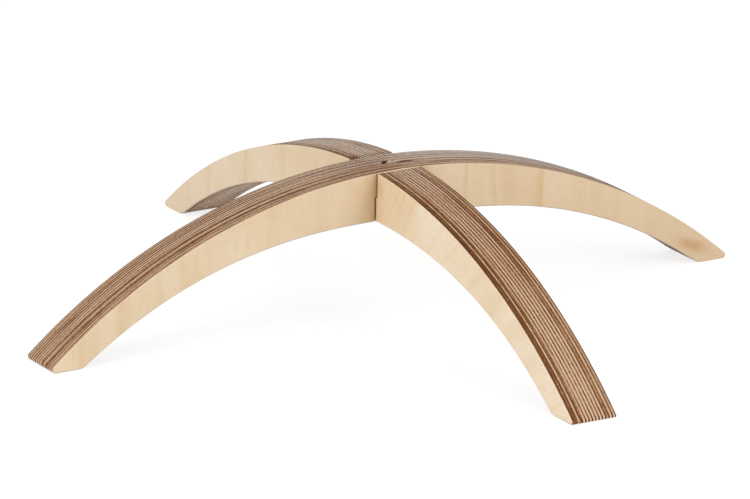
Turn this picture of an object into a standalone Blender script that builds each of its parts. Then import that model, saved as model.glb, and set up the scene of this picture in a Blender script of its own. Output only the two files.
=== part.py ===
"""Tenor horn stand: two plywood arches that plug into each other in a cross-lap joint.

Units are metres, +Z is up and the stand's feet rest on z = 0. The upper arch runs along X and lifts
off straight up. The lower arch runs along Y. Each arch is glued up from veneers cut to one outline.
"""

from math import asin, atan2, ceil, cos, pi, radians, sin, sqrt, tan

import bmesh
import bpy
from mathutils import Vector
from mathutils.geometry import interpolate_bezier

# The arch's outline.
ARCH_SPAN = 0.470  # from tip to tip along the floor, before the tips are rounded
ARCH_HEIGHT = 0.0898
MIDDLE_DEPTH = 0.0298  # the board's height at the crossing
FOOT_LENGTH = 0.0234  # the flat cut that each arm stands on, before its ends are rounded
HEEL_SLOPE = radians(36.3)  # the underside's slope where it comes down to the foot
CROWN_REACH = 0.042  # how far the underside keeps its level run out from the middle
HEEL_REACH = 0.108  # how far it keeps the heel's slope back up from the foot
TIP_RADIUS = 0.0011
HEEL_RADIUS = 0.0102

# The plywood.
PLY_COUNT = 27  # odd, so that both faces have the same grain
PLY_THICKNESS = 0.00108
GLUE_LINE = 0.00004
EASED_EDGE = 0.0005  # sanded off all round the outer side of each face veneer

# The cross-lap joint.
LOWER_SLOT_PLAY = 0.0003  # at each side of the upper arch in the lower arch's slot
UPPER_SLOT_PLAY = 0.0006  # at each side of the lower arch in the upper arch's slot
SEAT_GAP = 0.0003  # between the ends of the two slots
RELIEF_RADIUS = 0.0008  # the cutter that clears the slot's inner corners
LOWER_MOUTH_RADIUS = 0.0008  # at the top of the lower arch's slot
UPPER_MOUTH_RADIUS = 0.0018  # at the foot of the upper arch's slot

# How finely the curves are cut.
TOP_STEPS = 11  # along each arm
UNDERSIDE_STEPS = 9  # along each arm
ROUNDING_STEP = radians(50)
RELIEF_STEPS = 4

BOARD_THICKNESS = PLY_COUNT * PLY_THICKNESS + (PLY_COUNT - 1) * GLUE_LINE
PLY_PITCH = PLY_THICKNESS + GLUE_LINE
HALF_SPAN = ARCH_SPAN / 2
TOP_RADIUS = (HALF_SPAN**2 + ARCH_HEIGHT**2) / (2 * ARCH_HEIGHT)  # through both tips and the apex
UNDERSIDE_HEIGHT = ARCH_HEIGHT - MIDDLE_DEPTH
LAP_HEIGHT = ARCH_HEIGHT - MIDDLE_DEPTH / 2  # the two slots meet halfway down the boards


def top_point(x):
    return Vector((x, ARCH_HEIGHT - TOP_RADIUS + sqrt(TOP_RADIUS**2 - x**2)))


def top_arm(start):
    """The top arc from x = start out to the tip, in even steps of its angle."""
    first, last = asin(start / TOP_RADIUS), asin(HALF_SPAN / TOP_RADIUS)
    step = (last - first) / TOP_STEPS
    return [top_point(TOP_RADIUS * sin(first + i * step)) for i in range(TOP_STEPS + 1)]


def underside_arm():
    """The underside from the middle out to the heel: one Bezier curve, level at the middle."""
    heel = Vector((HALF_SPAN - FOOT_LENGTH, 0))
    crown = Vector((0, UNDERSIDE_HEIGHT))
    crown_handle = crown + Vector((CROWN_REACH, 0))
    heel_handle = heel + HEEL_REACH * Vector((-cos(HEEL_SLOPE), sin(HEEL_SLOPE)))
    curve = interpolate_bezier(crown, crown_handle, heel_handle, heel, UNDERSIDE_STEPS + 1)
    return [point.to_2d() for point in curve]


def past(points, start, reach):
    """The arm's points from x = start outwards, without any that lie nearer to it than the reach."""
    crossing = next(i for i, point in enumerate(points) if point.x > start)
    before, after = points[crossing - 1], points[crossing]
    cut = before.lerp(after, (start - before.x) / (after.x - before.x))
    return [cut] + [point for point in points if point.x > start + reach]


def rounded(before, corner, after, radius):
    """The corner replaced by an arc of the radius that touches both of its sides."""
    to_before, to_after = (before - corner).normalized(), (after - corner).normalized()
    half_angle = to_before.angle(to_after) / 2
    centre = corner + (to_before + to_after).normalized() * radius / sin(half_angle)
    reach = radius / tan(half_angle)
    first = corner + to_before * reach - centre
    last = corner + to_after * reach - centre
    start = atan2(first.y, first.x)
    sweep = (atan2(last.y, last.x) - start + pi) % (2 * pi) - pi
    steps = max(2, ceil(abs(sweep) / ROUNDING_STEP))
    angles = [start + sweep * i / steps for i in range(steps + 1)]
    return [centre + radius * Vector((cos(a), sin(a))) for a in angles]


def relief(wall, end, side):
    """From the slot's wall to its end, half round the cutter's circle that clears the corner.

    wall and end are the corner's x and z. side is +1 where the slot is open downwards, else -1.
    """
    inset = RELIEF_RADIUS / sqrt(2)
    centre = Vector((wall - inset, end - side * inset))
    angles = [side * pi * (i / RELIEF_STEPS - 0.25) for i in range(RELIEF_STEPS + 1)]
    return [centre + RELIEF_RADIUS * Vector((cos(a), sin(a))) for a in angles]


def arm_outline(slot_from_top):
    """The half of the outline at +X, from the middle of the top round to the middle underneath."""
    play = LOWER_SLOT_PLAY if slot_from_top else UPPER_SLOT_PLAY
    half_slot = BOARD_THICKNESS / 2 + play
    if slot_from_top:
        end = LAP_HEIGHT - SEAT_GAP / 2
        top, underside = top_arm(half_slot), underside_arm()
        above_mouth = Vector((half_slot, end))
        mouth = rounded(above_mouth, top[0], top[1], LOWER_MOUTH_RADIUS)
        top = relief(half_slot, end, -1)[::-1] + mouth + top[1:]
    else:
        end = LAP_HEIGHT + SEAT_GAP / 2
        top, underside = top_arm(0), past(underside_arm(), half_slot, 2 * UPPER_MOUTH_RADIUS)
        above_mouth = Vector((half_slot, end))
        mouth = rounded(above_mouth, underside[0], underside[1], UPPER_MOUTH_RADIUS)
        underside = relief(half_slot, end, 1)[::-1] + mouth + underside[1:]
    tip = rounded(top[-2], top[-1], underside[-1], TIP_RADIUS)
    heel = rounded(underside[-2], underside[-1], top[-1], HEEL_RADIUS)[::-1]
    return top[:-1] + tip + heel + underside[:-1][::-1]


def arch_outline(slot_from_top):
    """The whole outline: the arm at +X and its mirror image, which share any point at x = 0."""
    arm = arm_outline(slot_from_top)
    return arm + [Vector((-p.x, p.y)) for p in reversed(arm) if p.x > 0]


def ply_mesh(name, outline, eased):
    """A veneer of the outline, centred on y = 0. An eased one has its edges at -Y sanded off."""
    ply = bmesh.new()
    near = [ply.verts.new((p.x, -PLY_THICKNESS / 2, p.y)) for p in outline]
    face = ply.faces.new(near)
    if eased:
        rim = list(face.edges)
    made = bmesh.ops.extrude_face_region(ply, geom=[face], use_keep_orig=True)
    moved = [item for item in made["geom"] if isinstance(item, bmesh.types.BMVert)]
    bmesh.ops.translate(ply, verts=moved, vec=(0, PLY_THICKNESS, 0))
    bmesh.ops.recalc_face_normals(ply, faces=ply.faces)
    if eased:
        bmesh.ops.bevel(ply, geom=rim, offset=EASED_EDGE, segments=1, affect="EDGES")
    mesh = bpy.data.meshes.new(name)
    ply.to_mesh(mesh)
    ply.free()
    return mesh


def wood(name, colour, roughness):
    material = bpy.data.materials.new(name)
    material.use_nodes = True
    shader = material.node_tree.nodes["Principled BSDF"]
    shader.inputs["Base Color"].default_value = (*colour, 1)
    shader.inputs["Roughness"].default_value = roughness
    shader.inputs["Metallic"].default_value = 0
    return material


def build_arch(name, slot_from_top, turn, woods):
    """The arch's veneers, on an empty at the seat of the joint that carries them."""
    seat = bpy.data.objects.new(name, None)
    seat.location = (0, 0, LAP_HEIGHT)
    seat.rotation_euler = (0, 0, turn)
    bpy.context.scene.collection.objects.link(seat)
    outline = [p - Vector((0, LAP_HEIGHT)) for p in arch_outline(slot_from_top)]
    plain = {grain: ply_mesh(f"{name}_{grain}_ply", outline, grain == "face") for grain in woods}
    for grain, mesh in plain.items():
        mesh.materials.append(woods[grain])
    for i in range(PLY_COUNT):
        at_face = i in (0, PLY_COUNT - 1)
        grain = "face" if at_face else ("long" if i % 2 else "cross")
        ply = bpy.data.objects.new(f"{name}_ply_{i + 1:02d}_{grain}", plain[grain])
        ply.parent = seat
        ply.location = (0, (i - (PLY_COUNT - 1) / 2) * PLY_PITCH, 0)
        if i == PLY_COUNT - 1:
            ply.rotation_euler = (0, 0, pi)  # the far face veneer is the near one turned round
        bpy.context.scene.collection.objects.link(ply)


def main():
    for item in list(bpy.data.objects):
        bpy.data.objects.remove(item)
    woods = {
        "face": wood("face veneer", (0.76, 0.60, 0.40), 0.55),
        "long": wood("long-grain edge", (0.68, 0.47, 0.31), 0.6),
        "cross": wood("end-grain edge", (0.28, 0.14, 0.08), 0.7),
    }
    build_arch("lower_arch", slot_from_top=True, turn=-pi / 2, woods=woods)
    build_arch("upper_arch", slot_from_top=False, turn=0, woods=woods)


main()
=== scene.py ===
import bpy
import numpy as np
from mathutils import Matrix, Vector


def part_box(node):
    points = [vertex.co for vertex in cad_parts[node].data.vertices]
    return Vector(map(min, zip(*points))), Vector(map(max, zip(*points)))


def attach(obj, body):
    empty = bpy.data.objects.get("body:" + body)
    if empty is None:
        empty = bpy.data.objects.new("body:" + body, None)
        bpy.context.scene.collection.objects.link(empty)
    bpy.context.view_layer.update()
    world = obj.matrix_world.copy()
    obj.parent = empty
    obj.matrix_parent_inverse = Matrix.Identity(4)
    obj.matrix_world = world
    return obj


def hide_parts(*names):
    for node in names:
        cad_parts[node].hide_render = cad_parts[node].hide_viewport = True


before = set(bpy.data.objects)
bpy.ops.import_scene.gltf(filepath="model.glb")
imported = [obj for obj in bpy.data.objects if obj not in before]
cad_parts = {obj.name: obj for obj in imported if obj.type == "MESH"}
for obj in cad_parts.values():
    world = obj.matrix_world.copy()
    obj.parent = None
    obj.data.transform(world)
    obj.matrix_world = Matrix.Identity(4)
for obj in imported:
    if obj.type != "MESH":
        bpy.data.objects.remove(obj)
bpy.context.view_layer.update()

rng = np.random.default_rng(27)
scene = bpy.context.scene
scene.view_settings.view_transform = "Standard"

# The outline that every veneer is cut to, in metres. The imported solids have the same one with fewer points.
arch = {
    "span": 0.470, "height": 0.0898, "middleDepth": 0.0298, "footLength": 0.0234,
    "heelSlope": np.radians(36.3), "crownReach": 0.042, "heelReach": 0.108,
    "heelRadius": 0.0102, "boardThickness": 0.0302,
    "reliefRadius": 0.0008, "seatGap": 0.0003, "easedEdge": 0.0005, "slotEase": 0.00015,
    "topSteps": 110, "undersideSteps": 90, "roundSteps": 8, "easeSteps": 4,
}
slots = {
    "lower_arch": {"play": 0.00016, "fromTop": True},
    "upper_arch": {"play": 0.00042, "fromTop": False},
}
tipRadius = {  # the arms at plus and at minus
    "lower_arch": (0.0019, 0.0012),
    "upper_arch": (0.0021, 0.0022),
}


# Shapes

def roundedCorner(before, corner, after, radius):
    # The part of a circle of the radius that touches both sides of the corner.
    toBefore = (before - corner) / np.linalg.norm(before - corner)
    toAfter = (after - corner) / np.linalg.norm(after - corner)
    half = np.arccos(np.clip(toBefore @ toAfter, -1, 1)) / 2
    middle = (toBefore + toAfter) / np.linalg.norm(toBefore + toAfter)
    centre = corner + middle * radius / np.sin(half)
    first = corner + toBefore * radius / np.tan(half) - centre
    last = corner + toAfter * radius / np.tan(half) - centre
    start = np.arctan2(first[1], first[0])
    sweep = (np.arctan2(last[1], last[0]) - start + np.pi) % (2 * np.pi) - np.pi
    angle = start + sweep * np.linspace(0, 1, arch["roundSteps"] + 1)
    return centre + radius * np.stack([np.cos(angle), np.sin(angle)], 1)


def reliefArc(wall, end, side):
    # Half a turn of the cutter's circle, whose edge passes through the slot's inner corner.
    inset = arch["reliefRadius"] / np.sqrt(2)
    angle = side * np.pi * (np.linspace(0, 1, 13) - 0.25)
    centre = np.array([wall - inset, end - side * inset])
    return centre + arch["reliefRadius"] * np.stack([np.cos(angle), np.sin(angle)], 1)


def wornCorner(onWall, corner, onEdge, fullness):
    # One quadratic Bezier from the slot's wall to the board's edge. Fullness 1 rounds the corner, 0 breaks
    # it off.
    t = np.linspace(0, 1, arch["roundSteps"] + 1)[:, None]
    pull = corner * fullness + (onWall + onEdge) / 2 * (1 - fullness)
    return (1 - t)**2 * onWall + 2 * (1 - t) * t * pull + t**2 * onEdge


def armOutline(archName, tipRound, mouth, pits):
    # Half of the outline, from the middle of the top by the tip and the heel to the middle underneath.
    # Top: a circle through both tips and the apex, less a bell curve at each pit. Underside: one cubic Bezier.
    half, height = arch["span"] / 2, arch["height"]
    radius = (half**2 + height**2) / (2 * height)
    angle = np.linspace(0, np.arcsin(half / radius), arch["topSteps"] + 1)
    for pit in pits:
        nearPit = pit["run"] + pit["width"] * np.linspace(-1.6, 1.6, 25)
        angle = np.append(angle, np.arcsin(nearPit / radius))
    angle = np.unique(angle[angle >= 0])
    top = np.stack([radius * np.sin(angle), height - radius + radius * np.cos(angle)], 1)
    for pit in pits:
        top[:, 1] -= pit["depth"] * np.exp(-((top[:, 0] - pit["run"]) / pit["width"])**4)

    heel = np.array([half - arch["footLength"], 0.0])
    crown = np.array([0.0, height - arch["middleDepth"]])
    crownHandle = crown + [arch["crownReach"], 0]
    slope = arch["heelSlope"]
    heelHandle = heel + arch["heelReach"] * np.array([-np.cos(slope), np.sin(slope)])
    t = np.linspace(0, 1, arch["undersideSteps"] + 1)[:, None]
    under = ((1 - t)**3 * crown + 3 * (1 - t)**2 * t * crownHandle
             + 3 * (1 - t) * t**2 * heelHandle + t**3 * heel)

    fromTop = slots[archName]["fromTop"]
    wall = arch["boardThickness"] / 2 + slots[archName]["play"]
    side = -1 if fromTop else 1  # the slot's end lies below its mouth, or above it
    end = height - arch["middleDepth"] / 2 + side * arch["seatGap"] / 2
    edge = top if fromTop else under
    reach = wall + mouth["length"]
    level, levelAtReach = np.interp([wall, reach], edge[:, 0], edge[:, 1])
    corner = wornCorner(np.array([wall, level + side * mouth["depth"]]), np.array([wall, level]),
                        np.array([reach, levelAtReach]), mouth["fullness"])
    edge = np.concatenate([reliefArc(wall, end, side)[::-1], corner, edge[edge[:, 0] > reach + 1e-4]])
    top, under = (edge, under) if fromTop else (top, edge)

    tip = roundedCorner(top[-2], top[-1], under[-1], tipRound)
    heelArc = roundedCorner(under[-2], under[-1], top[-1], arch["heelRadius"])[::-1]
    top = top[top[:, 0] < tip[0, 0] - 1e-4]
    under = under[under[:, 0] < heelArc[-1, 0] - 1e-4]
    return np.concatenate([top, tip, heelArc, under[::-1]])


def boardOutline(archName, mouthAhead, mouthBehind, pits):
    # The arm at plus, then the arm at minus backwards, so that the outline runs clockwise.
    mirrored = [{**pit, "run": -pit["run"]} for pit in pits]
    ahead = armOutline(archName, tipRadius[archName][0], mouthAhead, pits)
    behind = armOutline(archName, tipRadius[archName][1], mouthBehind, mirrored) * [-1, 1]
    whole = np.concatenate([ahead, behind[::-1]])
    gap = np.linalg.norm(whole - np.roll(whole, 1, axis=0), axis=1)
    return whole[gap > 2e-5]


def inwards(outline):
    # Each point's mean of its two edges' normals, pointing into the wood.
    ahead = np.roll(outline, -1, axis=0) - outline
    ahead /= np.linalg.norm(ahead, axis=1)[:, None]
    normal = np.stack([ahead[:, 1], -ahead[:, 0]], 1)
    mean = normal + np.roll(normal, 1, axis=0)
    return mean / np.linalg.norm(mean, axis=1)[:, None]


def easeAlong(archName, outline):
    # How far the face's edge is sanded off: fully outside, hardly at all inside the slot.
    wall = arch["boardThickness"] / 2 + slots[archName]["play"]
    lap = arch["height"] - arch["middleDepth"] / 2
    slotSide = outline[:, 1] > lap - 0.004 if slots[archName]["fromTop"] else outline[:, 1] < lap + 0.004
    outside = np.clip((np.abs(outline[:, 0]) - wall) / 0.002, 0, 1)
    outside = np.where(slotSide, outside, 1.0)
    return arch["slotEase"] + (arch["easedEdge"] - arch["slotEase"]) * outside


def veneer(name, archName, box, outline, recess, tones, worn, seed, easedSide):
    # Rings of the outline carried across the veneer, with a flat face at each end. The rings of an eased
    # side follow a quarter circle: across = ease (1 - sine), inset = ease (1 - cosine). The tone runs from
    # the near rings' to the far rings'.
    alongX = archName == "upper_arch"
    lo, hi = box
    first, last = (lo[1], hi[1]) if alongX else (lo[0], hi[0])
    count = len(outline)
    flat = np.ones(count)
    ease = easeAlong(archName, outline)
    turn = np.linspace(np.pi / 2, 0, arch["easeSteps"] + 1)
    near, far = [(first * flat, recess * flat)], [(last * flat, recess * flat)]
    if easedSide == "near":
        near = [(first + ease * (1 - np.sin(a)), ease * (1 - np.cos(a))) for a in turn]
    if easedSide == "far":
        far = [(last - ease * (1 - np.sin(a)), ease * (1 - np.cos(a))) for a in turn[::-1]]
    rings = near + far
    pull = inwards(outline)
    points, across = [], []
    for place, inset in rings:
        ring = outline + pull * inset[:, None]
        x, y = (ring[:, 0], place) if alongX else (place, ring[:, 0])
        points.append(np.stack([x, y, ring[:, 1]], 1))
        across.append((place - (first + last) / 2) / (last - first) * 2)
    points, across = np.concatenate(points), np.concatenate(across)

    i = np.arange(count)
    j = np.roll(i, -1)
    quads = [np.stack([a + i, a + j, a + count + j, a + count + i], 1)
             for a in count * np.arange(len(rings) - 1)]
    quads = np.concatenate(quads)
    ends = [i[::-1], i + count * (len(rings) - 1)]
    if not alongX:
        quads, ends = quads[:, ::-1], [end[::-1] for end in ends]
    mesh = bpy.data.meshes.new(name)
    mesh.from_pydata(points.tolist(), [], quads.tolist() + [end.tolist() for end in ends])

    run = np.concatenate([[0], np.cumsum(np.linalg.norm(np.diff(outline, axis=0), axis=1))])
    layers = len(rings)
    dark = mesh.attributes.new("tone", "FLOAT", "POINT")
    tone = np.concatenate([np.tile(tones[0], len(near)), np.tile(tones[1], len(far))])
    dark.data.foreach_set("value", tone.astype(np.float32))
    # Painted sheen: how far each point's edge is greyed and paled.
    sheenLayer = mesh.attributes.new("worn", "FLOAT", "POINT")
    sheenLayer.data.foreach_set("value", np.tile(worn, layers).astype(np.float32))
    place = np.stack([np.tile(run, layers), across, np.full(len(across), seed)], 1)
    along = mesh.attributes.new("along", "FLOAT_VECTOR", "POINT")
    along.data.foreach_set("vector", place.astype(np.float32).ravel())
    mesh.shade_smooth()
    mesh.set_sharp_from_angle(angle=np.radians(32))
    smooth = np.ones(len(mesh.polygons), bool)
    smooth[-2:] = False
    mesh.polygons.foreach_set("use_smooth", smooth)
    mesh.update()
    piece = bpy.data.objects.new(name, mesh)
    scene.collection.objects.link(piece)
    return piece


# Shader expressions

class Value:
    # A socket in an expression. Each operator adds its Math node.

    def __init__(self, nodes, socket):
        self.nodes, self.socket = nodes, socket

    def combine(self, operation, first, second):
        return self.nodes.make("ShaderNodeMath", {"operation": operation}, {0: first, 1: second})

    def __add__(self, other): return self.combine("ADD", self, other)
    def __radd__(self, other): return self.combine("ADD", other, self)
    def __sub__(self, other): return self.combine("SUBTRACT", self, other)
    def __rsub__(self, other): return self.combine("SUBTRACT", other, self)
    def __mul__(self, other): return self.combine("MULTIPLY", self, other)
    def __rmul__(self, other): return self.combine("MULTIPLY", other, self)
    def __rpow__(self, other): return self.combine("POWER", other, self)

    def atMost(self, other):
        return self.combine("MINIMUM", self, other)

    def atLeast(self, other):
        return self.combine("MAXIMUM", self, other)

    def size(self):
        return self.combine("ABSOLUTE", self, 0.0)

    def rise(self, low, high):
        # 0 up to low, 1 from high on, smooth between.
        return self.nodes.make("ShaderNodeMapRange", {"interpolation_type": "SMOOTHSTEP"},
                               {"Value": self, "From Min": low, "From Max": high})


class Nodes:
    # A node tree, with one method that makes any node.

    def __init__(self, tree):
        self.tree = tree

    def feed(self, socket, value):
        if isinstance(value, Value):
            self.tree.links.new(value.socket, socket)
        else:
            socket.default_value = value

    def make(self, kind, settings=None, sockets=None, output=0):
        node = self.tree.nodes.new(kind)
        for key, value in (settings or {}).items():
            if key == "stops":
                elements = node.color_ramp.elements
                while len(elements) < len(value):
                    elements.new(1.0)
                for element, (place, shade) in zip(elements, value):
                    element.position, element.color = place, shade
            else:
                setattr(node, key, value)
        for key, value in (sockets or {}).items():
            self.feed(node.inputs[key], value)
        return Value(self, node.outputs[output])

    def blend(self, share, first, second):
        return self.make("ShaderNodeMix", {"data_type": "RGBA"}, {0: share, 6: first, 7: second}, output=2)

    def noise(self, where, scale, detail=3.0, roughness=0.5, distortion=0.0):
        return self.make("ShaderNodeTexNoise", {}, {"Vector": where, "Scale": scale, "Detail": detail,
                                                    "Roughness": roughness, "Distortion": distortion})

    def vector(self, x, y, z):
        return self.make("ShaderNodeCombineXYZ", {}, {0: x, 1: y, 2: z})

    def parts(self, vector):
        return [self.make("ShaderNodeSeparateXYZ", {}, {0: vector}, output=i) for i in range(3)]

    def seenDirectly(self):
        # 1 for rays from the camera, off a gloss or through glass, 0 for the light that falls on the stand.
        kinds = ["Is Camera Ray", "Is Glossy Ray", "Is Transmission Ray"]
        camera, glossy, through = [self.make("ShaderNodeLightPath", output=kind) for kind in kinds]
        return camera.atLeast(glossy).atLeast(through)


class Finish(Nodes):
    # A material, with its Principled shader.

    def __init__(self, name):
        self.material = bpy.data.materials.new(name)
        self.material.use_nodes = True
        super().__init__(self.material.node_tree)
        self.shader = self.tree.nodes["Principled BSDF"]

    def set(self, **sockets):
        names = {"colour": "Base Color", "roughness": "Roughness", "normal": "Normal",
                 "specular": "Specular IOR Level", "glow": "Emission Color", "glowStrength": "Emission Strength"}
        for key, value in sockets.items():
            self.feed(self.shader.inputs[names[key]], value)

    def bump(self, height, distance, strength=1.0):
        return self.make("ShaderNodeBump", {}, {"Height": height, "Distance": distance, "Strength": strength})


def colour(red, green, blue):
    # A colour as a screen shows it, 0 to 255, turned into the linear value that a shader takes.
    share = np.array([red, green, blue]) / 255
    return (*np.where(share <= 0.04045, share / 12.92, ((share + 0.055) / 1.055)**2.4).tolist(), 1)


# Woods

# Each face veneer's own look. Creams: its two base shades. Bands: where along the board, how soft on either
# side, how strong. Tints: from where to where one comes in, how strong, its shade. Stains: the middle along
# and up, the reach along and up, the lean, how strong, the shade. Corner: a painted shade beside the joint,
# how strong, how far until it halves, its colour.
faceFigure = {
    "upperNear": {
        "shift": 0.0, "lean": 0.0, "creams": ((239, 221, 193), (233, 210, 177)),
        "bands": [
            (-0.2125, 0.0025, 0.0024, 0.24), (-0.2040, 0.0040, 0.0060, 0.06), (-0.1860, 0.0052, 0.0085, 0.36),
            (-0.1605, 0.0040, 0.0038, 0.15), (-0.1462, 0.0026, 0.0050, 0.18), (-0.0880, 0.0030, 0.0030, 0.10),
            (-0.0530, 0.0040, 0.0080, 0.08), (0.0462, 0.0020, 0.0030, 0.26), (0.0670, 0.0060, 0.0009, 0.24),
            (0.0765, 0.0070, 0.0070, 0.10), (0.1003, 0.0078, 0.0007, 0.42), (0.1232, 0.0004, 0.0010, 0.12),
            (0.1290, 0.0040, 0.0050, 0.04), (0.1395, 0.0010, 0.0010, 0.10), (0.1530, 0.0050, 0.0050, 0.06),
            (0.1750, 0.0050, 0.0120, 0.07)],
        "tints": [(0.000, 0.050, 0.12, (208, 172, 130)), (0.170, 0.215, 0.14, (196, 154, 104)),
                  (-0.110, -0.030, 0.13, (206, 160, 100))],
        "stains": [
            {"at": (0.2075, 0.0118), "reach": (0.0175, 0.0062), "lean": -0.36, "share": 0.62,
             "shade": (196, 142, 82)}],
        "corner": {"share": 0.62, "halving": 0.0036, "shade": (166, 120, 38)}},
    "upperFar": {
        "shift": 3.7, "lean": 0.10, "creams": ((239, 221, 193), (233, 210, 177)),
        "bands": [
            (-0.1900, 0.0040, 0.0020, 0.22), (-0.1320, 0.0060, 0.0030, 0.30), (-0.0610, 0.0020, 0.0040, 0.22),
            (0.0340, 0.0050, 0.0040, 0.18), (0.1130, 0.0070, 0.0012, 0.36), (0.1710, 0.0030, 0.0020, 0.20)],
        "tints": [(-0.060, -0.200, 0.14, (203, 172, 134))],
        "stains": [
            {"at": (-0.1500, 0.0420), "reach": (0.0140, 0.0050), "lean": 0.40, "share": 0.30,
             "shade": (202, 152, 96)}],
        "corner": {"share": 0.40, "halving": 0.0030, "shade": (150, 112, 66)}},
    "lowerNear": {
        "shift": 7.1, "lean": 0.75, "creams": ((245, 228, 204), (239, 218, 187)),
        "bands": [
            (-0.1750, 0.0020, 0.0040, 0.05), (-0.1265, 0.0028, 0.0050, 0.18), (-0.1000, 0.0026, 0.0036, 0.12),
            (-0.0825, 0.0030, 0.0036, 0.08), (-0.0655, 0.0024, 0.0030, 0.07), (-0.0530, 0.0020, 0.0030, 0.14),
            (-0.0470, 0.0010, 0.0020, 0.07), (-0.0415, 0.0016, 0.0030, 0.12), (-0.0345, 0.0012, 0.0026, 0.10),
            (-0.0262, 0.0014, 0.0036, 0.16), (0.0930, 0.0060, 0.0050, 0.20), (0.1352, 0.0042, 0.0042, 0.26),
            (0.1790, 0.0042, 0.0048, 0.20), (0.2050, 0.0030, 0.0030, 0.12)],
        "tints": [(-0.040, 0.060, 0.28, (214, 186, 150))],
        "stains": [
            {"at": (-0.0192, 0.0812), "reach": (0.0060, 0.0075), "lean": 0.0, "share": 0.40,
             "shade": (200, 152, 90)}],
        "corner": {"share": 0.42, "halving": 0.0130, "shade": (214, 176, 116)}},
    "lowerFar": {
        "shift": 11.9, "lean": 0.20, "creams": ((242, 225, 200), (236, 214, 184)),
        "bands": [
            (-0.1660, 0.0050, 0.0020, 0.30), (-0.0950, 0.0030, 0.0060, 0.20), (-0.0480, 0.0040, 0.0020, 0.22),
            (0.0860, 0.0060, 0.0012, 0.30), (0.1490, 0.0030, 0.0030, 0.18)],
        "tints": [(0.050, 0.200, 0.10, (206, 172, 130))],
        "stains": [
            {"at": (0.1180, 0.0560), "reach": (0.0100, 0.0060), "lean": -0.50, "share": 0.26,
             "shade": (202, 152, 96)}],
        "corner": {"share": 0.34, "halving": 0.0060, "shade": (170, 130, 80)}},
}


def faceWood(name, alongX, figure):
    # Cream veneer with its grain upright, or leaning on the arm at minus. A band is a rise on one side of
    # its place and a fall on the other, faded in and out by a noise that is stretched upwards. The painted
    # corner shade beside the joint halves again and again along the board: share times a half to the power
    # distance / halving. A painted dark line beside the slot's open side stands for the shade in the gap.
    finish = Finish(name)
    x, y, z = finish.parts(finish.make("ShaderNodeTexCoord", output="Object"))
    run = x if alongX else y
    shift, lean = figure["shift"], figure["lean"]
    below = arch["height"] - z - run * run * 1.5  # how far below the top edge, near enough
    sway = finish.noise(finish.vector(run * 18, z * 30, shift), 1.0, 1.0)
    slant = (1 - run.rise(-0.02, 0.02)) * (1 - run.rise(-0.13, -0.03) * 0.35) * lean
    upright = run - (below - 0.011) * slant + (sway - 0.5) * 0.005
    fade = finish.noise(finish.vector(upright * 90, z * 30, shift + 1), 1.0, 2.0).rise(0.25, 0.62)
    bands = None
    for place, before, after, share in figure["bands"]:
        band = upright.rise(place - before, place) * (1 - upright.rise(place, place + after)) * share
        bands = band if bands is None else bands + band
    soft = finish.noise(finish.vector(upright * 60, z * 5, shift + 2), 1.0, 2.0).rise(0.40, 0.75)
    cloud = finish.noise(finish.vector(run * 26, z * 20, shift + 3), 1.0, 3.0)
    fibres = finish.noise(finish.vector(upright * 1400, z * 45, shift + 4), 1.0, 3.0, 0.6)
    flecks = finish.noise(finish.vector(upright * 2300, z * 160, shift + 5), 1.0, 1.0).rise(0.70, 0.80)
    curl = finish.noise(finish.vector(run * 120, z * 420, shift + 6), 1.0, 2.0, 0.6)
    pale, warm = figure["creams"]
    wood = finish.blend(cloud.rise(0.30, 0.70), colour(*pale), colour(*warm))
    wood = finish.blend(soft * 0.20, wood, colour(219, 184, 134))
    wood = finish.blend((bands * (0.55 + fade * 0.75)).atMost(1.0), wood, colour(216, 173, 110))
    for low, high, share, shade in figure["tints"]:
        wood = finish.blend(run.rise(low, high) * share, wood, colour(*shade))
    for stain in figure["stains"]:
        (middle, height), (reach, rise) = stain["at"], stain["reach"]
        offRun = run - middle
        offRise = z - height - offRun * stain["lean"] + (sway - 0.5) * 0.005
        across = 1 - (offRun * (1 / reach)).size().rise(0.1, 1.0)
        upwards = 1 - (offRise * (1 / rise)).size().rise(0.0, 1.0)
        strength = across * upwards * (0.7 + fade * 0.3) * stain["share"]
        wood = finish.blend(strength, wood, colour(*stain["shade"]))
    # Painted shade in the corner beside the joint, halving with distance from it; none on the wood hidden inside
    # the joint.
    corner = figure["corner"]
    beside = (run.size() - arch["boardThickness"] / 2).atLeast(0.0)
    near = 0.5 ** (beside * (1 / corner["halving"])) * (0.85 + cloud * 0.3)
    near = near * run.size().rise(arch["boardThickness"] / 2 - 0.0012, arch["boardThickness"] / 2 - 0.0002)
    wood = finish.blend((near * corner["share"]).atMost(1.0), wood, colour(*corner["shade"]))
    lap = arch["height"] - arch["middleDepth"] / 2
    slotSide = z.rise(lap - 0.0004, lap + 0.0004)
    slotSide = 1 - slotSide if alongX else slotSide
    # Painted shade: a dark line on the face just beside the slot, on its open side, where the gap between the
    # boards is in shade.
    paintedGapShade = (1 - beside.rise(0.0006, 0.0018)) * slotSide
    wood = finish.blend(paintedGapShade * 0.90, wood, colour(80, 46, 8))
    wood = finish.blend(fibres.rise(0.40, 0.72) * 0.17, wood, colour(206, 172, 128))
    wood = finish.blend(curl.rise(0.45, 0.72) * 0.12, wood, colour(207, 172, 124))
    wood = finish.blend(flecks * 0.24, wood, colour(170, 128, 84))
    finish.set(colour=wood, roughness=0.48 + 0.14 * fibres, specular=0.3,
               normal=finish.bump(fibres, 0.00004, 0.35))
    return finish.material


edgeShades = {
    "upper_arch": [(0.00, colour(228, 197, 167)), (0.25, colour(203, 167, 136)), (0.50, colour(167, 129, 99)),
                   (0.75, colour(124, 84, 55)), (1.00, colour(80, 44, 20))],
    "lower_arch": [(0.00, colour(232, 201, 170)), (0.25, colour(208, 169, 132)), (0.50, colour(165, 123, 87)),
                   (0.75, colour(122, 76, 42)), (1.00, colour(86, 42, 12))],
}


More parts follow.
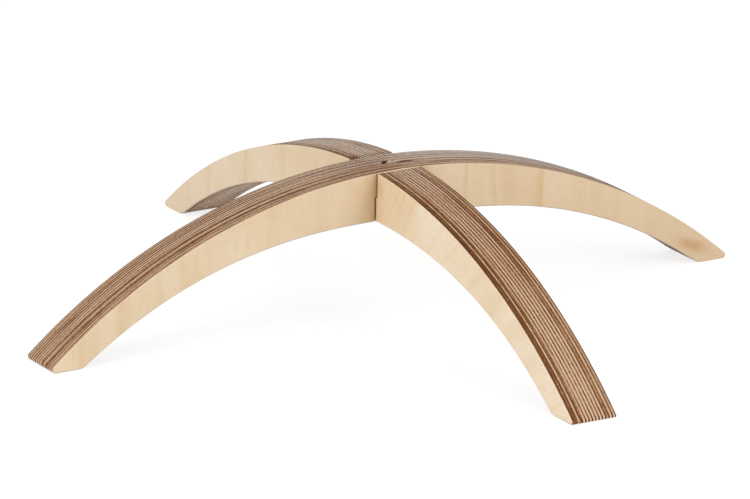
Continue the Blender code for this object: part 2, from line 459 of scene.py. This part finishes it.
def edgeWood(name, shades, flecking, streaking):
    # A veneer's sawn edge: its own tone with streaks along it and flecks across it, read off one ramp of
    # shades, a little olive or pink by the veneer, darker beside its glue lines, and greyed and paled by a
    # painted sheen on the tops and a little on the undersides.
    finish = Finish(name)
    tone = finish.make("ShaderNodeAttribute", {"attribute_name": "tone"}, output="Fac")
    worn = finish.make("ShaderNodeAttribute", {"attribute_name": "worn"}, output="Fac")
    along = finish.make("ShaderNodeAttribute", {"attribute_name": "along"}, output="Vector")
    run, across, seed = finish.parts(along)
    streaks = finish.noise(finish.vector(run * 45, across * 1.3, seed), 1.0, 3.0, 0.55)
    flecks = finish.noise(finish.vector(run * 520, across * 0.7, seed + 0.5), 1.0, 2.0, 0.6)
    hue = finish.noise(finish.vector(run * 9, 0.0, seed * 3.1), 1.0, 1.0).rise(0.35, 0.65)
    glue = (across.size() + (streaks - 0.5) * 0.2).rise(0.80, 1.0)
    checks = finish.noise(finish.vector(run * 210, across * 0.3, seed + 7), 1.0, 2.0, 0.6).rise(0.64, 0.74)
    shade = tone + (streaks - 0.5) * streaking + (flecks - 0.5) * flecking + checks * 0.22
    wood = finish.make("ShaderNodeValToRGB", {"stops": shades}, {0: shade})
    wood = finish.blend(0.12, wood, finish.blend(hue, colour(176, 122, 100), colour(140, 116, 76)))
    wood = finish.blend(glue * 0.40, wood, colour(96, 62, 36))
    # Painted sheen: greys and pales the edge by the sheen attribute, the pale wood more than the dark.
    wood = finish.make("ShaderNodeHueSaturation", {}, {
        "Saturation": 1 - worn * (1.4 - shade * 0.8), "Value": 1 + worn * 0.16, "Fac": 1.0, "Color": wood})
    finish.set(colour=wood, roughness=0.55 + 0.14 * flecks, specular=0.04,
               normal=finish.bump(flecks + streaks, 0.00008, 0.5))
    return finish.material


def glueFilm(name):
    # The dark resin between the veneers, seen only where wood is missing.
    finish = Finish(name)
    place = finish.make("ShaderNodeTexCoord", output="Object")
    cloud = finish.noise(place, 700.0, 2.0)
    finish.set(colour=finish.blend(cloud.rise(0.35, 0.65), colour(70, 40, 20), colour(112, 74, 44)),
               roughness=0.70 + 0.10 * cloud, specular=0.1, normal=finish.bump(cloud, 0.0002, 0.4))
    return finish.material


# Stage

def studio():
    # The floor and the air look white, and the light that they throw on the stand is a plain level.
    levels = {"floorSize": 30, "floor": 0.92, "floorSeen": 0.36, "floorGlow": 0.77, "air": 0.55}
    corners = np.array([[-1, -1, 0], [1, -1, 0], [1, 1, 0], [-1, 1, 0]]) * levels["floorSize"] / 2
    mesh = bpy.data.meshes.new("floor")
    mesh.from_pydata(corners.tolist(), [], [(0, 1, 2, 3)])
    floor = bpy.data.objects.new("floor", mesh)
    floor.location.z = -0.0002
    scene.collection.objects.link(floor)
    finish = Finish("paleFloor")
    seen = finish.seenDirectly()
    grey = lambda level: (level, level, level, 1)
    finish.set(colour=finish.blend(seen, grey(levels["floor"]), grey(levels["floorSeen"])), roughness=0.9,
               specular=0.0, glow=finish.blend(seen, grey(0.0), grey(levels["floorGlow"])), glowStrength=1.0)
    mesh.materials.append(finish.material)

    world = bpy.data.worlds.new("studioAir")
    scene.world = world
    world.use_nodes = True
    air = Nodes(world.node_tree)
    background = world.node_tree.nodes["Background"]
    air.feed(background.inputs["Color"], air.blend(air.seenDirectly(), grey(levels["air"]), grey(1.0)))

    lamps = {
        "leftBox": {"at": (-2.2, -0.6, 1.3), "size": 1.5, "power": 26},
        "frontBox": {"at": (1.0, -2.3, 1.4), "size": 1.5, "power": 22},
    }
    for name, lamp in lamps.items():
        data = bpy.data.lights.new(name, "AREA")
        data.size, data.energy = lamp["size"], lamp["power"]
        light = bpy.data.objects.new(name, data)
        light.location = lamp["at"]
        light.rotation_euler = (Vector((0, 0, 0.04)) - light.location).to_track_quat("-Z", "Y").to_euler()
        scene.collection.objects.link(light)


def camera():
    # At the photograph's angle: the view direction from its yaw and pitch, then its roll.
    view = {"at": (-2.75044, -4.48462, 1.74509), "yaw": np.radians(31.464), "pitch": np.radians(17.997),
            "roll": np.radians(1.114), "focalPixels": 9389.2, "widthPixels": 750, "sensor": 36}
    level = np.cos(view["pitch"])
    ahead = Vector((level * np.sin(view["yaw"]), level * np.cos(view["yaw"]), -np.sin(view["pitch"])))
    right = Vector((np.cos(view["yaw"]), -np.sin(view["yaw"]), 0))
    up = right.cross(ahead)
    turnedRight = np.cos(view["roll"]) * right + np.sin(view["roll"]) * up
    turnedUp = -np.sin(view["roll"]) * right + np.cos(view["roll"]) * up
    data = bpy.data.cameras.new("photoCamera")
    data.sensor_width = view["sensor"]
    data.lens = view["focalPixels"] * view["sensor"] / view["widthPixels"]
    data.clip_end = 100
    seer = bpy.data.objects.new("photoCamera", data)
    turn = Matrix((turnedRight, turnedUp, -ahead)).transposed().to_4x4()
    seer.matrix_world = Matrix.Translation(view["at"]) @ turn
    scene.collection.objects.link(seer)
    scene.camera = seer


# Building

camera()
print("camera set")
studio()
print("studio set")

woods = {
    "upperNear": faceWood("upperNearFace", True, faceFigure["upperNear"]),
    "upperFar": faceWood("upperFarFace", True, faceFigure["upperFar"]),
    "lowerNear": faceWood("lowerNearFace", False, faceFigure["lowerNear"]),
    "lowerFar": faceWood("lowerFarFace", False, faceFigure["lowerFar"]),
}
woods["glueFilm"] = glueFilm("glueFilm")
for archName, shades in edgeShades.items():
    woods[archName + "long"] = edgeWood(archName[:5] + "LongGrainEdge", shades, 0.75, 0.18)
    woods[archName + "cross"] = edgeWood(archName[:5] + "CrossGrainEdge", shades, 1.25, 0.24)
print("woods mixed:", len(woods))

# How dark each veneer's cut edge came out, near face to far one, 0 pale to 9 dark. Contrast, darker and the
# painted sheen, which greys and pales the tops, change from place to place along the board, the sheen also
# from the near face to the far one, and paler is how much paler the far face's side is than the middle.
layup = {
    "upper_arch": {
        "veneers": "346183875168527071928382727",
        "contrast": [(-0.20, 0.88), (-0.14, 0.97), (-0.09, 0.92), (-0.05, 0.62), (-0.01, 0.48),
                     (0.02, 0.48), (0.05, 0.95), (0.11, 1.35)],
        "darker": [(-0.20, -0.09), (-0.14, -0.06), (-0.09, -0.05), (-0.05, -0.13), (-0.01, 0.02),
                   (0.02, -0.18), (0.065, -0.25), (0.10, -0.30)],
        "worn": [(-0.15, 0.0), (-0.06, 0.07), (0.0, 0.17), (0.03, 0.23), (0.20, 0.27)],
        "wornNear": 0.1, "wornFar": 1.9, "paler": [(-0.10, 0.0), (-0.05, 0.05), (0.12, 0.07)]},
    "lower_arch": {
        "veneers": "597828626160616161717572737",
        "contrast": [(-0.21, 0.98), (-0.10, 1.04), (-0.045, 0.80), (-0.02, 0.60), (0.03, 0.85),
                     (0.08, 0.66)],
        "darker": [(-0.20, -0.10), (-0.14, 0.03), (-0.09, 0.06), (-0.03, -0.03), (0.03, -0.09),
                   (0.08, -0.17)],
        "worn": [(-0.12, 0.0), (-0.07, 0.03), (-0.03, 0.12), (0.02, 0.26), (0.12, 0.37)],
        "wornNear": 0.6, "wornFar": 1.3, "paler": [(0.0, 0.0)]},
}
wear = {
    "drift": 0.07,  # how far a veneer's tone wanders along the board
    "recess": 0.00005,  # how far the cross-grain edges are sanded below the long-grain ones
    # Every fourth veneer or so of the upper arch is paler about the crown.
    "paleAt": 15.4, "paleShift": 19.2, "paleEvery": 3.7,
    "paleShare": [(-0.16, 0.0), (-0.10, 0.10), (-0.05, 0.20), (0.02, 0.30), (0.06, 0.12), (0.10, 0.0)],
    # Painted light at the feet: how much paler the long grain and darker the cross grain near the floor, and how
    # high.
    "footContrast": 0.34, "footHeight": 0.004,
    # How much darker the face veneers' edges are at their near and far sides.
    "rimTones": {1: (-0.55, 0.40), 27: (0.0, 0.35)},
    "underside": -0.05, "undersideWorn": 0.24,  # the undersides are a little paler and greyer
    # The tone of every veneer's edge inside a slot, dark as painted shade.
    "slotTone": 1.1,
    # Splinters at the lower slot's far mouth: their depth, and how much darker the broken wood is: its torn end
    # grain, and painted shade in the hollows.
    "splinters": {"cross": (0.0024, 0.0036), "long": (0.0002, 0.0008), "face": (0.0008, 0.0012)},
    "brokenTone": 1.4, "splinterTone": {"cross": 1.20, "long": -0.30, "face": 0.20}, "splinterReach": 0.0052,
    "splinterLength": 1.7, "splinterFullness": {"cross": -0.9, "long": 0.35, "face": 0.0},
    # Gaps in the upper arch's veneers: the veneer's number, place along, half width, depth.
    "pits": [(13, -0.0016, 0.0013, 0.0010), (14, -0.0008, 0.0014, 0.0014), (15, 0.0002, 0.0018, 0.0022),
             (16, 0.0007, 0.0015, 0.0020), (15, 0.0055, 0.0006, 0.0006)],
    # Darker and paler marks on it: the veneer's number, place along, half width, how much darker.
    "marks": [(11, 0.0120, 0.0060, 0.50), (12, 0.0118, 0.0050, 0.75), (13, 0.0112, 0.0045, 0.60), 
              (14, 0.0034, 0.0014, -0.55), (15, 0.0036, 0.0012, -0.50), (13, 0.0034, 0.0012, -0.40),
              (14, 0.0076, 0.0016, -0.50), (15, 0.0084, 0.0016, -0.50), (20, -0.2090, 0.0060, 0.35), (19, -0.1950, 0.0080, 0.30),
              (8, -0.1300, 0.0100, 0.20), (15, -0.1270, 0.0015, 0.45), (21, -0.1650, 0.0040, 0.25)],
    "fillets": {"lower_arch": 0.0004, "upper_arch": 0.0018},
}


def stations(archName, what, x):
    # The layup's stations for one thing, straight lines between them.
    return np.interp(x, *zip(*layup[archName][what]))


def marksOn(number, kind):
    return [mark[1:] for mark in wear[kind] if mark[0] == number]


def insideSlot(archName, outline):
    within = np.abs(outline[:, 0]) < arch["boardThickness"] / 2 + slots[archName]["play"] + 0.0001
    return within & (slots[archName]["fromTop"] | (outline[:, 1] < arch["height"] - 0.004))


def brokenShare(archName, outline):
    # How near the splinters at the lower slot's far mouth, by a bell curve.
    x, z = outline[:, 0], outline[:, 1]
    bell = np.exp(-((x - arch["boardThickness"] / 2) / wear["splinterReach"])**2)
    return bell * (x > 0) * (z > arch["height"] - 0.008) * (archName == "lower_arch")


def veneerToneAndShade(archName, number, grain, outline):
    # The layup's tone plus three slow waves along the outline. Where the tips meet the floor, painted light and
    # shade set the long grain paler and the cross grain darker. Inside the slots every edge takes a painted
    # shade, and broken, pitted and marked places are darker or paler, each by a bell curve, the broken and
    # pitted ones partly by painted shade in their hollows.
    x, z = outline[:, 0], outline[:, 1]
    run = np.concatenate([[0], np.cumsum(np.linalg.norm(np.diff(outline, axis=0), axis=1))])
    tone = 0.5 + (int(layup[archName]["veneers"][number - 1]) / 9 - 0.5) * stations(archName, "contrast", x)
    tone = tone + stations(archName, "darker", x) - stations(archName, "paler", x) * (number - 14) / 13
    if archName == "upper_arch":
        fourth = np.cos(2 * np.pi * (number - wear["paleAt"] + x * wear["paleShift"]) / wear["paleEvery"])
        tone = tone - fourth * np.interp(x, *zip(*wear["paleShare"]))
    for length in (0.19, 0.083, 0.037):
        tone = tone + wear["drift"] * rng.uniform(0.3, 1.0) * np.sin(2 * np.pi * (run / length + rng.uniform()))
    tone = tone + wear["underside"] * (inwards(outline)[:, 1] > 0.3)
    # Painted light and shade at the feet: the long grain paler, the cross grain darker, near the floor.
    footLightShare = np.clip(1 - z / wear["footHeight"], 0, 1) * (np.abs(x) > arch["span"] / 2 - 0.006)
    tone = tone + wear["footContrast"] * footLightShare * (-1 if grain == "long" else 1)
    # Painted shade: the edges inside the slot are set dark.
    tone = np.where(insideSlot(archName, outline), wear["slotTone"], tone)
    # At the far mouth's splinters the cross grain is darker, partly torn end grain and partly painted shade in
    # the hollows, and the long grain paler.
    tone = tone + wear["splinterTone"][grain] * brokenShare(archName, outline)
    crown = z > arch["height"] - 0.008
    if archName == "upper_arch":
        for place, width, darker in marksOn(number, "marks"):
            tone = tone + darker * np.exp(-((x - place) / width)**4) * (inwards(outline)[:, 1] < -0.3)
        for place, width, _ in marksOn(number, "pits"):
            # Pits take the broken tone: dark, partly painted shade in the hollow.
            tone = tone + (wear["brokenTone"] - tone) * np.exp(-((x - place) / width)**4) * crown
    return tone


def sheenShare(archName, number, outline):
    # How far the edge is greyed and paled by the painted sheen: the layup's places on the tops, one share on
    # the undersides, none in the slots.
    up = -inwards(outline)[:, 1]
    near, far = layup[archName]["wornNear"], layup[archName]["wornFar"]
    onTop = stations(archName, "worn", outline[:, 0]) * (near + (far - near) * (number - 1) / 26)
    onTop = onTop * np.clip(up, 0, 1) * (1 - brokenShare(archName, outline))
    return (onTop + wear["undersideWorn"] * (up < -0.3)) * ~insideSlot(archName, outline)


for name in sorted(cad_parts):
    archName, number, grain = name[:10], int(name[15:17]), name[18:]
    splinter = rng.uniform(*wear["splinters"][grain])
    fillet = wear["fillets"][archName]
    rounded = {"length": fillet, "depth": fillet, "fullness": 1.0}
    broken = {"length": splinter * wear["splinterLength"], "depth": splinter,
              "fullness": wear["splinterFullness"][grain]}
    far = broken if archName == "lower_arch" else rounded
    pits = [dict(zip(("run", "width", "depth"), pit)) for pit in marksOn(number, "pits")]
    pits = pits if archName == "upper_arch" else []
    outline = boardOutline(archName, far, rounded, pits)
    tone = veneerToneAndShade(archName, number, grain, outline)
    recess = wear["recess"] if grain == "cross" else 0.0
    easedSide = {1: "near", 27: "far"}.get(number, "")
    towardsFace, inside = wear["rimTones"].get(number, (0.0, 0.0))
    outside = ~insideSlot(archName, outline)
    tones = (tone + towardsFace * outside, tone + inside * outside)
    piece = veneer("show_" + name, archName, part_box(name), outline, recess, tones, sheenShare(archName, number, outline),
                   rng.uniform(0, 50), easedSide)
    if grain == "face":
        # The face's wood also covers its rim.
        piece.data.materials.append(woods[archName[:5] + easedSide.capitalize()])
        piece.data.materials.append(woods[archName + "cross"])
        piece.data.materials.append(woods["glueFilm"])
        strips = (len(piece.data.polygons) - 2) // len(outline)
        onTop = np.tile((inwards(outline)[:, 1] < -0.3) & outside, strips)
        strip = np.repeat(np.arange(strips), len(outline))
        rim = strip < arch["easeSteps"] if number == 1 else strip >= strips - arch["easeSteps"] + 1
        kinds = np.append(np.where(onTop & rim, 0, 1), [0, 2] if number == 1 else [2, 0])
    else:
        piece.data.materials.append(woods[archName + grain])
        piece.data.materials.append(woods["glueFilm"])
        kinds = np.append(np.zeros(len(piece.data.polygons) - 2, int), [1, 1])
    piece.data.polygons.foreach_set("material_index", kinds)
    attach(piece, archName)
    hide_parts(name)
print("veneers laid up:", len(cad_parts))
